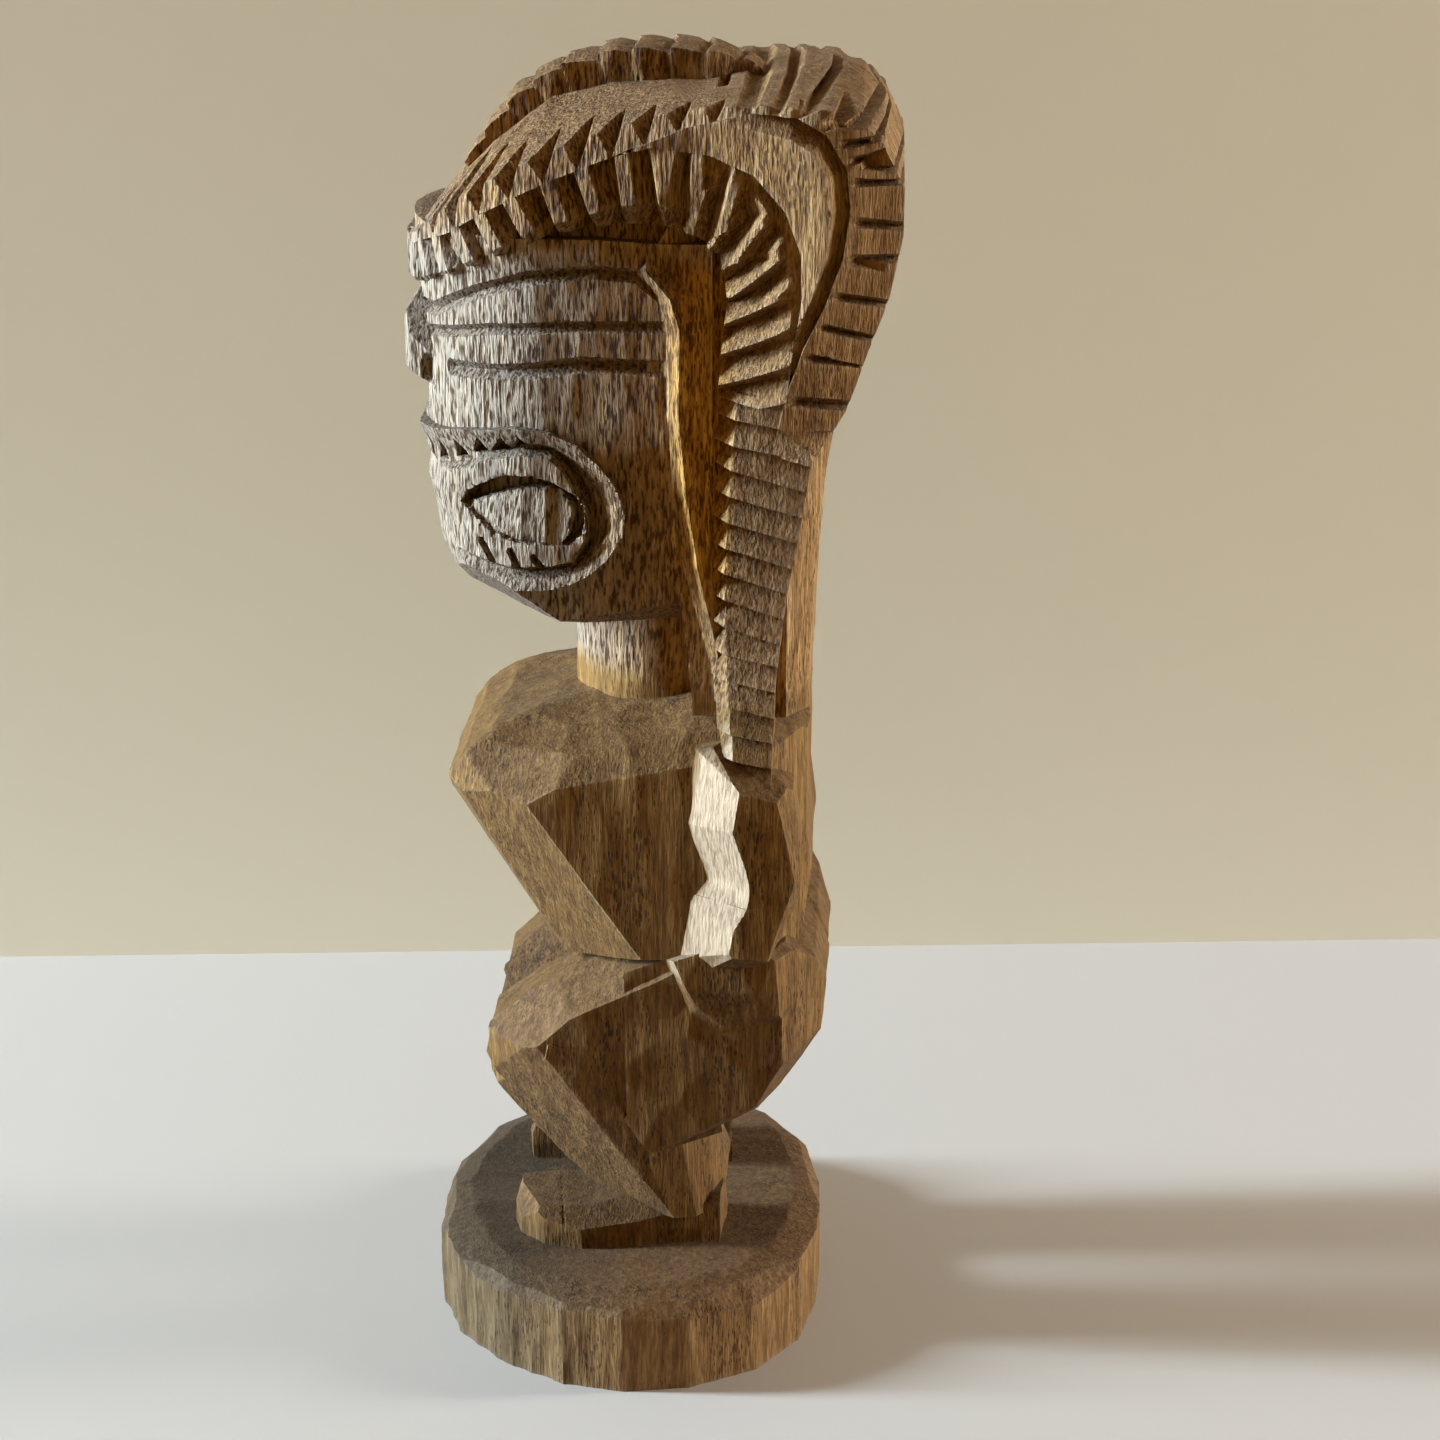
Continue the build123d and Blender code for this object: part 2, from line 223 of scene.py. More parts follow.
def plinth(p, seed):
    x, y, z = parts_of(p)
    outline = polygon(x, y, mirrored_outline(PLINTH_PLAN))
    chips = strokes(p, (4.2, 4.2, 19.0), seed + 3, 0.42, 0.3)
    smooth_side = ramp(y, -22, 2)
    wall = outline + 0.6 - (0.8 - 0.5 * smooth_side) * chips
    bevel = (outline + 0.7 * (z - PLINTH_TOP)) / 1.22 + 3.2
    bevel = knifed(bevel, p, seed + 1, (22.0, 20.0, 16.0), 3.4)
    top = knifed(z - PLINTH_TOP + 0.5, p, seed, (9.0, 20.0, 9.0), 0.8)
    rest = knifed(outline + 6.0 + 2.4 * (z - PLINTH_TOP + 1.0), p, seed + 2, (24, 24, 14), 2.0) / 2.6
    return both(wall, bevel, top, rest, -z)


FOOT_SIDE = [(-30.5, 20), (-31, 27), (-29.5, 30.8), (-13, 31.6), (-4, 33.5), (8, 34), (15.5, 34), (16.5, 20)]


def foot(p, seed):
    x, y, z = parts_of(p)
    side = polygon(y, z, FOOT_SIDE)
    plan = polygon(x, y, [(10, -30), (15.5, -31), (22, -29), (26.5, -23.5), (28, -15), (26.5, -3), (23, 15),
                          (11, 16), (9, -5)])
    slope = cut(p, (0.72, 0, 0.69), (25.5, 0, 30.0))
    toe = cut(p, (0.35, -0.75, 0.55), (17.0, -29.0, 29.6))
    d = knifed(both(side, plan, slope, toe), p, seed, (9, 10, 7), 0.55)
    crease = np.abs(y + 20.5 - 0.14 * (x - 16))
    return d + np.clip(0.35 - crease, 0, 0.35) * (z > 28)


SHIN_SIDE = [(-36, 70), (-35, 61), (-27.5, 50), (-15, 36.5), (-7, 30), (15.5, 30), (16.5, 39), (13, 48),
             (7, 57), (5, 66), (-20, 76)]
LEG_TAPER = [(25, 26.0), (50, 29.5), (70, 32.8), (86, 34.6),
             (92, 35.5)]  # outer side of the leg at each height


def shin_cut(p):
    return cut(p, (0.808, -0.437, -0.399), (29.0, -14.2, 56.3))


def lower_leg(p, seed):
    x, y, z = parts_of(p)
    side = polygon(y, z, SHIN_SIDE)
    width = both(x - mix(z, LEG_TAPER), 8.0 - x)
    knee = cut(p, (0.62, -0.78, 0.1), (27.0, -27.0, 66.0))
    inner = cut(p, (-0.66, -0.6, -0.5), (8.5, -15.5, 50.0))
    calf = cut(p, (0.66, 0.75, 0.05), (27.5, 6.8, 47.0))
    calf_back = cut(p, (0.3, 0.95, 0.08), (20.0, 13.0, 45.0))
    calf_face = cut(p, (0.96, 0.27, -0.05), (28.6, 1.5, 50.0))
    d = both(side, width, shin_cut(p), knee, inner, calf, calf_back, calf_face)
    return knifed(d, p, seed, (10, 10, 16), 0.5)


THIGH_SIDE = [(-35.6, 67), (-34, 75), (-25.5, 83), (-15, 90), (-6, 95.5), (4, 97.5), (13, 97.5), (16, 54),
              (2, 48), (-14, 48), (-27, 56), (-33, 62)]


def thigh(p, seed):
    x, y, z = parts_of(p)
    side = polygon(y, z, THIGH_SIDE)
    width = both(x - mix(z, LEG_TAPER), 4.5 - x)
    top = cut(p, (0.55, -0.43, 0.72), (33.6, -7.0, 88.0))
    knee_top = cut(p, (0.55, -0.62, 0.56), (28.5, -27.5, 75.0))
    knee = cut(p, (0.70, -0.70, -0.1), (29.5, -27.0, 68.0))
    inner = cut(p, (-0.7, -0.3, 0.6), (8.0, -24.0, 78.0))
    d = both(side, width, top, knee_top, knee, shin_cut(p), inner)
    return knifed(d, p, seed, (11, 11, 16), 0.55)


HIPS_SIDE = [(-6, 93), (6, 98), (12, 100), (29, 100), (35, 93), (37.6, 85.5), (36.6, 74), (27, 62.5),
             (10.5, 52.5), (0, 51), (-6, 60)]
PAD_SIDE = [(3.4, 99), (6.2, 92), (9.4, 85), (16.4, 79.6), (30, 84), (40, 92), (40, 110), (3.4, 110)]


def hips(p, seed):
    x, y, z = parts_of(p)
    out = np.abs(x)
    q = np.stack([out, y, z], axis=1)
    side = polygon(y, z, HIPS_SIDE)
    pad = polygon(y, z, PAD_SIDE)
    face = out - mix(z, [(50, 33.0), (75, 34.4), (100, 34.6)]) - 2.6 * ramp(-pad, 0, 2.2) * ramp(z, 80, 91)
    pad_low = cut(q, (0.96, 0.24, -0.1), (36.8, 22.0, 84.0))
    seat = cut(q, (0.55, 0.4, -0.73), (33.2, 22.0, 61.5))
    back = cut(q, (0.5, 0.86, 0.0), (33.0, 29.5, 85.0))
    back_low = cut(q, (0.4, 0.8, -0.45), (24.0, 34.5, 74.0))
    top = cut(q, (0.3, 0.6, 0.74), (33.0, 30.0, 98.0))
    cleft = np.clip(2.4 - out, 0, 2.4) * ramp(y, 20, 32)
    d = both(side, face, pad_low, seat, back, back_low, top)
    return knifed(d + cleft, p, seed, (13, 13, 13), 0.75)


TORSO_SIDE = [(-15, 88), (-41.5, 128), (-41.3, 132.5), (-38, 137), (-31, 141.5), (-22.5, 145), (-12, 148.6),
              (0, 151.2), (12, 152.4), (26, 152.4), (33, 144), (32.8, 121), (34, 112), (32, 97), (31, 92),
              (14, 88)]


def torso(p, seed):
    x, y, z = parts_of(p)
    out = np.abs(x)
    q = np.stack([out, y, z], axis=1)
    side = polygon(y, z, TORSO_SIDE)
    wall = out - TORSO_SIDE_X
    chamfer = cut(q, (0.79, -0.51, -0.34), (35.0, -6.6, 105.9))
    belly = cut(q, (0.42, -0.78, -0.46), (24.0, -22.0, 101.5))
    shoulder = cut(q, (0.72, -0.36, 0.6), (34.6, -16.0, 136.6))
    hatch = cut(q, (0.86, -0.1, 0.5), (35.0, -8.0, 137.0))
    cap = cut(q, (0.33, -0.2, 0.92), (26.0, 0.0, 146.5))
    front_cap = cut(q, (0.25, -0.66, 0.7), (20.0, -32.0, 143.2))
    front_side = cut(q, (0.7, -0.66, 0.26), (30.5, -30.0, 136.0))
    back = cut(q, (0.5, 0.87, 0.0), (34.0, 25.5, 120.0))
    back_top = cut(q, (0.4, 0.6, 0.69), (26.0, 28.0, 146.5))
    lap = cut(q, (0.35, 0.0, -0.94), (35.0, 0.0, 97.0))
    d = both(side, wall, chamfer, belly, shoulder, hatch, cap, front_cap, front_side, back, back_top, lap)
    broad = strokes(p, (15, 15, 15), seed, 0.4, 0.5)
    fine = strokes(p, (8, 8, 20), seed + 5)
    return d - (0.2 + 1.9 * ramp(z, 130, 143)) * (broad - 0.45) - 0.25 * (fine - 0.45)


ARM_FRONT = [(20, 150), (10.8, 144.4), (8.3, 128.3), (12.2, 116.1), (9.2, 110.8), (6.8, 97.6), (11, 94.5)]
ARM_SIDE = ARM_FRONT[1:] + [(16.3, 93.4), (20, 96), (26, 99.5), (31.5, 112), (32, 124), (30.5, 136),
                            (23, 143), (17, 146)]


def arm(p, seed):
    """The whole arm. Its crooked front edge rises from the torso's side in one broad bright cut."""
    x, y, z = parts_of(p)
    side = polygon(y, z, ARM_SIDE)
    run, inward = along(y, z, ARM_FRONT)
    bevel = (x - TORSO_SIDE_X + 0.6 - 0.72 * np.abs(inward)) / 1.23
    rear = cut(p, (0.5, 0.85, 0.155), (41.2, 30.1, 117.8))
    low_rear = cut(p, (0.5, 0.84, -0.22), (41.2, 30.1, 117.8))
    shoulder = cut(p, (0.55, 0.35, 0.76), (41.0, 24.0, 136.5))
    hand = cut(p, (0.7, 0.0, -0.71), (40.0, 14.0, 99.5))
    elbow = cut(p, (0.98, 0.2, 0.0), (41.0, 24.0, 118.0))
    d = both(side, bevel, x - ARM_X, 27.0 - x, rear, low_rear, shoulder, hand, elbow)
    return knifed(d, p, seed, (10, 10, 13), 0.6)


def upper_arm(p, seed):
    return both(arm(p, seed), 112.0 - p[:, 2])


def forearm(p, seed):
    return both(arm(p, seed), p[:, 2] - 112.3)


def neck(p, seed):
    x, y, z = parts_of(p)
    reach = np.hypot(x / 20.0, (y - 2.5) / 18.5)
    d = (reach - 1) * 18.5
    d = both(d, z - 172.0, 146.0 - z)
    return d - 0.9 * (strokes(p, (8, 8, 26), seed) - 0.45)


FACE_PROFILE = [(-46.6, 250), (-46.9, 229), (-46, 220), (-43.8, 212), (-43.8, 208), (-46, 206),
                (-46.3, 201), (-45, 198.4), (-45.6, 193.4), (-44.4, 188), (-43.9, 182.5), (-42.4, 177),
                (-38, 172.4), (-32.5, 170.4), (-27, 168.6), (-17, 167.6), (10, 167.6), (15, 172), (16, 250)]
BROW_GROOVES = [
    ([(-64.6, 228), (-46, 229.8), (-32, 235.6), (-21, 239.2), (-8, 240.6), (0, 239.8), (4.5, 236)], 1.5, 1.7),
    ([(-64.6, 224), (-49.5, 224.8), (-29, 228.7), (-14.6, 229.8), (5, 230)], 1.2, 1.4),
    ([(-40, 219.4), (-29, 220.2), (-20.7, 221), (-10.8, 222.4), (5, 221.8)], 1.7, 1.8),
]
LIP_OUTLINE = [(-64.6, 205.6), (-57.8, 205.4), (-44.6, 206.4), (-36.5, 207.9), (-24.2, 209.9),
               (-17.5, 209.2), (-12.2, 206.9), (-8.1, 203), (-5.5, 199.6), (-3.6, 195.4), (-3, 192.4),
               (-3.6, 188.2), (-6.6, 183.6), (-10, 180.4), (-14, 178.4), (-17.7, 177.2), (-23, 176.8),
               (-29.6, 176.6), (-38, 177.6), (-46, 179), (-55, 180), (-64.6, 180.4)]
INNER_LIP = [(-64.6, 197.6), (-52, 197.2), (-35, 201.5), (-30.2, 204), (-22.3, 205.6), (-17, 205),
             (-14.2, 202), (-10.7, 195.2), (-9.8, 191.8), (-10.2, 186.7), (-12.9, 182.1), (-17.6, 180.9),
             (-26, 180.4), (-34, 181.6), (-46, 184), (-64.6, 185)]
CAVITY = [(-36.8, 193.2), (-34.3, 196.4), (-27.3, 199.9), (-21.1, 200.5), (-16.5, 198.8), (-12.8, 196.6),
          (-11.3, 193.9), (-11, 191.1), (-11.6, 188.4), (-14.2, 186.2), (-19.4, 186.3), (-24.9, 186.6),
          (-29.2, 188.2), (-32.5, 190.4)]


def face_shape(x, y, z):
    """Front profile of the face. The mouth and chin are rounder across than the brow."""
    bowed = y - 0.012 * x * x * ramp(z, 208, 200)
    q = np.stack([np.abs(x), y, z], axis=1)
    jaw = cut(q, (0.62, 0.15, -0.77), (31.0, -8.0, 172.8))
    jaw_front = cut(q, (0.45, -0.5, -0.74), (18.0, -27.0, 169.5))
    chin = cut(q, (0.25, -0.8, -0.55), (12.0, -41.4, 178.5))
    return both(polygon(bowed, z, FACE_PROFILE), jaw, jaw_front, chin)


def head(p, seed):
    x, y, z = parts_of(p)
    t, wall = chart(x, y)
    q = np.stack([np.abs(x), y, z], axis=1)
    cheek = cut(q, (0.985, 0.04, -0.09), (31.0, -3.0, 204.0))
    d = both(wall, face_shape(x, y, z), z - 246.0, y - 14.0, cheek)
    for path, width, depth in BROW_GROOVES:
        run, off = along(t, z, path)
        d = d + np.clip(depth * (1 - np.abs(off) / width), 0, depth)
    d = d - 0.9 * ramp(z, 239.0, 243.5) * ramp(t, 4, -8)
    d = d - 0.3 * (strokes(p, (6, 6, 18), seed) - 0.45)
    behind_mouth = both(polygon(t, z, LIP_OUTLINE) + 0.8, -wall - 6.5)
    return both(d, -behind_mouth)


def nose(p, seed):
    """Broad and blunt: its sides face outwards and its underside rises to the wings."""
    x, y, z = parts_of(p)
    out = np.abs(x)
    q = np.stack([out, y, z], axis=1)
    side = polygon(y, z, [(-32, 234), (-45, 232.5), (-48.1, 227.8), (-49.8, 223.4), (-50, 216), (-49.4, 213.3),
                          (-44.5, 210.8), (-32, 211)])
    plan = polygon(out, y, [(-5, -50.2), (0, -50.2), (8, -48.9), (14.2, -47.2), (16.8, -42.5),
                            (18.2, -34), (-5, -34)])
    spread = out - mix(z, [(210, 17.0), (219, 17.6), (226, 13.0), (233, 8.0)])
    under = cut(q, (0.2, -0.58, -0.79), (13.0, -42.9, 212.9))
    nostril = np.clip(1 - np.hypot((y + 42.6) / 2.4, (z - 217.0) / 3.8), 0, 1) * ramp(out, 10, 13)
    return knifed(both(side, plan, spread, under) + 2.6 * nostril, p, seed, (5, 5, 7), 0.5)


TONGUE = [(-36.2, 192.9), (-29, 195.6), (-24.6, 197), (-19.2, 197.8), (-15.9, 197), (-13.3, 194.5),
          (-12.8, 192.5), (-14.1, 188.6), (-16.4, 186), (-24.9, 185.4), (-29.2, 187), (-33, 189.8)]
TOOTH_GAPS = [(-23.6, 208.1, -24.4, -21.8, 206.0), (-27.1, 207.7, -29.4, -25.2, 204.6),
              (-32.1, 207.0, -34.0, -30.2, 203.6), (-38.3, 205.2, -39.0, -34.9, 201.6),
              (-44.6, 204.4, -45.8, -42.0, 199.8), (-51.0, 203.8, -52.2, -48.4, 198.6),
              (-57.6, 203.6, -58.8, -55.0, 198.2),
              (-64.6, 203.6, -66.5, -62.7, 198.2)]  # tip, foot ends, foot height
SLOTS = [[(-31.7, 186.1), (-29.4, 182.2)], [(-25.6, 184.7), (-24.2, 181.3)], [(-21.1, 183.7), (-19.6, 181.5)]]


def mouth_ring(p, seed):
    """The big open mouth: a rim that slopes inwards, a row of teeth, an inner lip and a fluted tongue."""
    x, y, z = parts_of(p)
    t, wall = chart(x, y)
    rim = polygon(t, z, LIP_OUTLINE)
    lip = polygon(t, z, INNER_LIP)
    hole = polygon(t, z, CAVITY)
    side = ramp(t, -26, -14)
    height = 0.2 + 2.1 * ramp(rim, -4.8, -0.2) - 1.4 * side * ramp(rim, -2.6, -4.4)
    ditch = np.clip(1.7 * (1 - np.abs(lip - 0.3) / 1.2), 0, 1.7) * ramp(t, -30, -20)
    height = np.where(lip < 0, 0.4 + 1.5 * ramp(-lip, 0, 1.2), height) - ditch
    for tip, tip_z, left, right, foot_z in TOOTH_GAPS:
        gap = polygon(t, z, [(tip, tip_z), (right, foot_z + 0.3), (left, foot_z)])
        height = height - 2.6 * ramp(-gap, -0.1, 0.35)
    for slot in SLOTS:
        run, off = along(t, z, slot)
        height = height - 2.4 * ramp(-np.abs(off), -0.75, -0.35)
    tongue = polygon(t, z, TONGUE)
    flutes = 0.3 * np.abs(np.sin((t + 33.4) * math.pi / 4.9))
    well = np.where(tongue < 0, -1.5 + 0.15 * (z - 186) + flutes, 3.0)
    surface = both(wall - height, np.where(hole < 0, wall + well * ramp(-hole, 0, 0.5), -99.0))
    d = both(surface, rim, -wall - 9.0, face_shape(x, y, z) - 0.2)
    return d - 0.25 * (strokes(p, (4, 4, 9), seed) - 0.45)


CORE_SIDE = [(-48, 238), (-47, 250), (-38, 262), (-20, 272), (0, 276), (20, 280), (38, 280), (44, 275),
             (47.5, 268), (48.6, 256), (48.0, 246), (45.5, 236), (42, 225), (38.2, 212), (35.6, 197),
             (33.8, 173), (33.2, 150), (10, 150), (8, 170), (4, 200), (0, 232), (-40, 236)]


def headdress_core(p, seed):
    x, y, z = parts_of(p)
    q = np.stack([np.abs(x), y, z], axis=1)
    t, wall = chart(x, y, HAIR_PROUD)
    side = polygon(y, z, CORE_SIDE)
    corner = mix(z, [(150, 0.0), (205, -1.0), (222, -5.0), (245, -8.0)])
    back = cut(q, (0.62, 0.78, 0.02), (29.0, 28.5, 190.0)) + corner
    inset = wall + mix(z, [(150, 3.4), (225, 3.4), (240, 4.8), (262, 4.8)])
    top = roof(t, -wall, y, z) + 4.8 * ramp(y, 14, 17)
    d = both(side, inset, back, top, corner_cuts(t, wall, z))
    return knifed(d, p, seed, (11, 11, 22), 0.7)


CREST_TOP = [(-46.6, 240.6), (-42.4, 247.4), (-38.2, 253), (-34, 260.9), (-29.8, 266.4), (-25.7, 271),
             (-21.5, 273.8), (-17.5, 276.2), (-13.6, 277.2), (-9.7, 278.4), (-5.7, 279.6), (0, 279.9),
             (9.9, 279.7), (13.7, 279.2), (17.6, 278), (21.5, 276), (25, 273)]


def centre_crest(p, seed):
    """The ridge over the crown, cut across into overlapping steps."""
    x, y, z = parts_of(p)
    out = np.abs(x)
    side = polygon(y, z, CREST_TOP + [(22, 264), (0, 262), (-20, 256), (-34, 246), (-44, 238)])
    run, off = along(y, z, CREST_TOP)
    f = run / 7.2 + 0.2 + 0.02 * out
    f = f - np.floor(f)
    step = 1.3 * f * f * ramp(1 - f, 0, 0.08) + 0.12 * np.maximum(out - 2, 0)
    width = out - mix(run, [(0, 5.0), (20, 7.6), (62, 8.4), (78, 8.0), (90, 4.0)]) - 0.12 * off
    d = both(side + step, width + 0.15 * step)
    return knifed(d, p, seed, (6, 6, 9), 0.5)


def roof(t, inset, y, z):
    """Top of the headdress: it rises inwards from the rows, to the skull and to the roll at the back."""
    corner = mix(t, [(-64.6, 242.3), (-50, 244.2), (-46.5, 245.2), (-37, 251.5), (-24, 259.8), (-17, 263.2),
                     (-10.6, 266), (-4.3, 268.3), (5, 271), (13, 272.6), (22, 273.4), (30, 273.4), (36, 272.8),
                     (42, 270.5), (46, 266.5), (50, 258)])
    lean = mix(t, [(-64.6, 1.3), (-40, 0.9), (-26, 0.4), (-17, 0.256), (-4, 0.2), (13, 0.12), (50, 0.11)])
    middle = mix(y, [(-47, 243), (-42, 248), (-38, 252), (-29.5, 261.2), (-18.4, 269.6), (-6.7, 272.4),
                     (11.5, 273.2), (22, 275), (30, 276.3), (37, 276), (42, 275), (45, 273.4),
                     (49, 267.5), (51, 258)])
    return (z - np.minimum(corner + lean * inset, middle)) / np.hypot(1.0, lean)


# Where the cuts of the upper row and of the lower row come along their paths.
UPPER_BEATS = [(0, -0.6), (43.8, 6), (85.6, 12), (92.7, 13), (97.8, 14), (101.6, 15), (106.6, 16),
               (110.2, 17), (113.8, 18), (117, 19), (124.4, 20), (131.4, 21), (138.7, 22), (145, 23),
               (151.6, 24), (161, 25), (170, 26.2)]
LOWER_BEATS = [(0, -0.6), (43.4, 6), (71.3, 10), (84, 12), (96.8, 14), (107.5, 16), (120, 18), (126.3, 19),
               (140, 21.1)]


def corner_cuts(t, wall, z):
    """V cuts over the corner between the upper row's face and the skull. Positive in the wood they take away."""
    run, up = along(t, z, BAND_RIDGE)
    beat = mix(run, UPPER_BEATS)
    inset = -wall
    shrink = mix(run, [(0, 0.75), (30, 1.0), (200, 1.0)])
    taken = np.full(t.shape, -99.0)
    for shift in (0, 1):
        k = np.floor(beat) + shift
        s = (beat - k) * 7.0
        dark = 0.804 * s + 0.163 * up - 0.572 * inset
        bright = -0.743 * s + 0.668 * up - 0.048 * inset
        taken = np.maximum(taken, np.minimum(dark, bright) * shrink)
    return np.where((run < 89) & (up > -0.6), taken, -99.0)


def rear_cuts(t, wall, z):
    """Depth of the cuts across the roll at the back, from its top down to the nape."""
    run, up = along(t, z, BAND_RIDGE)
    slant = mix(run, [(85, 0.55), (104, 0.6), (112, 0.45), (118, 0.1), (130, -0.12), (170, -0.2)])
    narrow = ramp(run, 112, 124)
    beat = mix(run - slant * (up - 1.0), UPPER_BEATS)
    tooth = teeth(beat, 0.10, 0.44 + 0.28 * narrow)
    deep = mix(up, [(-1, 0.0), (1.0, 0.5), (2.6, 3.0), (14, 3.1)]) * (1 - 0.28 * narrow)
    return (1 - tooth) * deep * ramp(run, 88.2, 89.4)


def outer_crest(p, seed):
    """Upper row of notches, on over the top and down the back of the head."""
    x, y, z = parts_of(p)
    t, wall = chart(x, y, HAIR_PROUD)
    zone = polygon(t, z, BAND_RIDGE + list(reversed(BAND_TOP)))
    run, up = along(t, z, BAND_RIDGE)
    rear = ramp(run, 116, 130)
    lean = mix(run, [(0, 0.05), (90, 0.10), (112, 0.22), (130, 0.34), (170, 0.40)])
    face = both(wall - OUTER_FLARE * flare(y) + lean * up, roof(t, -wall, y, z))
    inner_side = np.where(t < -19, -wall - 14.0, np.where(y < 16, 20.0 - x, -0.5 - x))
    d = both(face + rear_cuts(t, wall, z), corner_cuts(t, wall, z), zone, inner_side)
    return d - 0.2 * (strokes(p, (6, 6, 10), seed) - 0.45) * (1 - 0.4 * rear)


def inner_crest(p, seed):
    """Lower row of notches, fanning out behind the temple."""
    x, y, z = parts_of(p)
    t, wall = chart(x, y, HAIR_PROUD)
    edge = [(-64.6, 241), (-50, 242.2), (-37, 246.7), (-24, 254.4), (-17, 258), (-4.3, 263)] + FAN_EDGE
    zone = polygon(t, z, edge + list(reversed(LOWER_EDGE)))
    run, off = along(t, z, INNER_PATH)
    rise = mix(run, [(0, 0.10), (76, 0.14), (88, 0.36), (104, 0.56), (125, 0.72)])
    flat = mix(run, [(0, 0.38), (80, 0.36), (94, 0.08), (125, 0.0)])
    slant = mix(run, [(0, 0.0), (72, 0.05), (82, 0.4), (90, 0.6), (98, 0.62), (106, 0.5), (124, 0.3)])
    tooth = teeth(mix(run + slant * off, LOWER_BEATS), rise, flat)
    fan = ramp(run, 72, 90)
    deep = mix(off, [(-9, 3.4), (3, 3.4), (6.5, 2.3), (9, 0.2)])
    sunk = fan * mix(off, [(-8.5, 2.6), (5.4, 1.0), (7.0, 1.4), (9.0, 3.0)])
    bevel = 0.85 * np.maximum(-off - 3.0, 0) * (1 - fan)
    inner_side = np.where(t < -19, -wall - 14.0, 20.0 - x)
    d = both(wall - flare(y) + sunk + bevel + (1 - tooth) * deep, zone, inner_side)
    return d - 0.2 * (strokes(p, (5, 5, 9), seed) - 0.45)


def crest_panel(p, seed):
    """Smooth crescent between the two rows. It faces a little forward and drops into grooves on both sides."""
    x, y, z = parts_of(p)
    zone = polygon(y, z, [(-4.3, 263)] + BAND_RIDGE[6:-1] + list(reversed(FAN_EDGE[1:])) + [(3, 265)])
    run, gap = along(y, z, BAND_RIDGE[4:])
    fan_run, fan_off = along(y, z, FAN_EDGE)
    groove = mix(-gap, [(-2, 4.8), (0, 4.5), (0.9, 3.9), (3.8, 0.4), (9, 0.0)]) * ramp(run, 34, 52)
    rim = mix(fan_off, [(-1, 2.0), (0, 1.8), (13, 0.0)]) * ramp(fan_run, 0, 16)
    d = both(x - HAIR_SIDE - flare(y) - 0.3 + np.maximum(groove, rim), zone, 22.0 - x)
    return d - 0.25 * (strokes(p, (9, 9, 18), seed) - 0.45)


def plait(p, seed):
    """Hanging lock cut across into overlapping steps, with a slanting front edge."""
    x, y, z = parts_of(p)
    side = polygon(y, z, PLAIT_SIDE)
    run, off = along(y, z, PLAIT_PATH)
    step = 1 - teeth((run - 0.22 * off) / 5.35 + 0.2, 0.86, 0.0)
    outer = mix(z, [(130, 38.8), (142, 37.6), (158, 35.4), (175, 34.2), (216, 34.0)])
    lead = mix(z, [(130, 19.5), (150, 17.4), (168, 16.4), (185, 16.4), (200, 17.4), (218, 18.6)])
    edge = (x - outer + 0.9 * (lead - y)) / 1.35
    outer = outer + 0.07 * (y - 15)
    d = both(x - outer + 2.1 * step, edge + 1.7 * step, side, 20.0 - x)
    return d - 0.2 * (strokes(p, (5, 5, 6), seed) - 0.45)


LOCK_SIDE = [(-2, 239), (2, 243), (6, 250), (12, 249), (19, 242), (19, 216), (17, 195), (16, 168), (14, 158),
             (11, 166), (8, 182), (5.6, 197), (3.8, 213), (3.4, 230), (0, 237)]


def side_lock(p, seed):
    """Raised edge behind the cheek and the smooth channel that falls from it to the plait."""
    x, y, z = parts_of(p)
    side = polygon(y, z, LOCK_SIDE)
    front = mix(z, [(160, 12.6), (168, 10.8), (182, 7.8), (197, 5.6), (213, 4.2), (230, 4.4), (236, 2.6),
                    (241, -2)])
    behind = y - front
    top = x - mix(z, [(160, 32.0), (180, 33.2), (235, 33.4), (243, 31.6)])
    facet = (top - 0.95 * (behind - 3.4)) / 1.38
    kink = mix(z, [(160, 15), (195, 12.6), (245, 11.0)])
    channel = top + 0.34 * np.maximum(behind - 3.4, 0) + 0.42 * np.maximum(y - kink, 0)
    d = both(facet, channel, side, 20.0 - x)
    return d - 0.22 * (strokes(p, (4, 4, 13), seed) - 0.45)


# ---------------------------------------------------------------- turning a field into a mesh
def in_chunks(form, seed):
    """The form as a field of one argument, worked out a few points at a time to stay in the cache."""
    def field(p):
        values = np.empty(len(p))
        for start in range(0, len(p), CHUNK):
            values[start:start + CHUNK] = form(p[start:start + CHUNK], seed)
        return values
    return field


